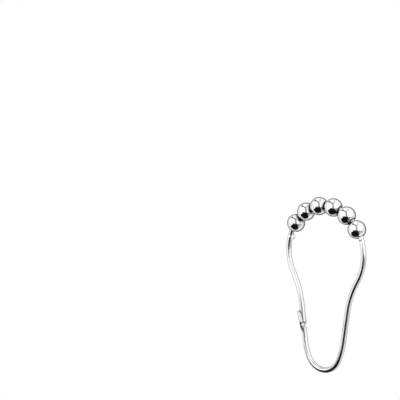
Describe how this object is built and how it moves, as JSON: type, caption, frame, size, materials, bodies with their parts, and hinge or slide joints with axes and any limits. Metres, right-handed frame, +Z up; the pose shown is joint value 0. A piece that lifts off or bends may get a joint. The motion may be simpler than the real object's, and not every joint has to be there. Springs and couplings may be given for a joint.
{
  "type": "shower curtain hook",
  "caption": "Sprung wire ring with hollow metal balls that roll on its round top loop, tapering to a narrow bottom bend, with a side catch that lets the ring open.",
  "frame": {"origin": "centre of the round upper loop, where the curtain rod passes through the ring", "axes": "+Z up, from the bottom bend towards the balls; +Y along the curtain rod, square to the ring's plane; +X across the ring, away from the catch"},
  "size_m": [0.0454, 0.0082, 0.08],
  "materials": {
    "wire": "polished",
    "balls": "polished"
  },
  "bodies": {
    "wire": {"wire": "wire"},
    "ball_1": {"ball_1": "balls"},
    "ball_2": {"ball_2": "balls"},
    "ball_3": {"ball_3": "balls"},
    "ball_4": {"ball_4": "balls"},
    "ball_5": {"ball_5": "balls"},
    "ball_6": {"ball_6": "balls"}
  },
  "joints": [
    {"name": "ball_1_spin", "type": "hinge", "parent": "wire", "child": "ball_1", "pos_m": [-0.0175, 0, 0.01191], "axis": [-0.5627, 0, -0.8267], "continuous": true},
    {"name": "ball_2_spin", "type": "hinge", "parent": "wire", "child": "ball_2", "pos_m": [-0.01169, 0, 0.01764], "axis": [-0.8335, 0, -0.5525], "continuous": true},
    {"name": "ball_3_spin", "type": "hinge", "parent": "wire", "child": "ball_3", "pos_m": [-0.00415, 0, 0.02076], "axis": [-0.9806, 0, -0.1962], "continuous": true},
    {"name": "ball_4_spin", "type": "hinge", "parent": "wire", "child": "ball_4", "pos_m": [0.00401, 0, 0.02079], "axis": [-0.9819, 0, 0.1893], "continuous": true},
    {"name": "ball_5_spin", "type": "hinge", "parent": "wire", "child": "ball_5", "pos_m": [0.01157, 0, 0.01773], "axis": [-0.8374, 0, 0.5466], "continuous": true},
    {"name": "ball_6_spin", "type": "hinge", "parent": "wire", "child": "ball_6", "pos_m": [0.01742, 0, 0.01203], "axis": [-0.5684, 0, 0.8227], "continuous": true}
  ]
}
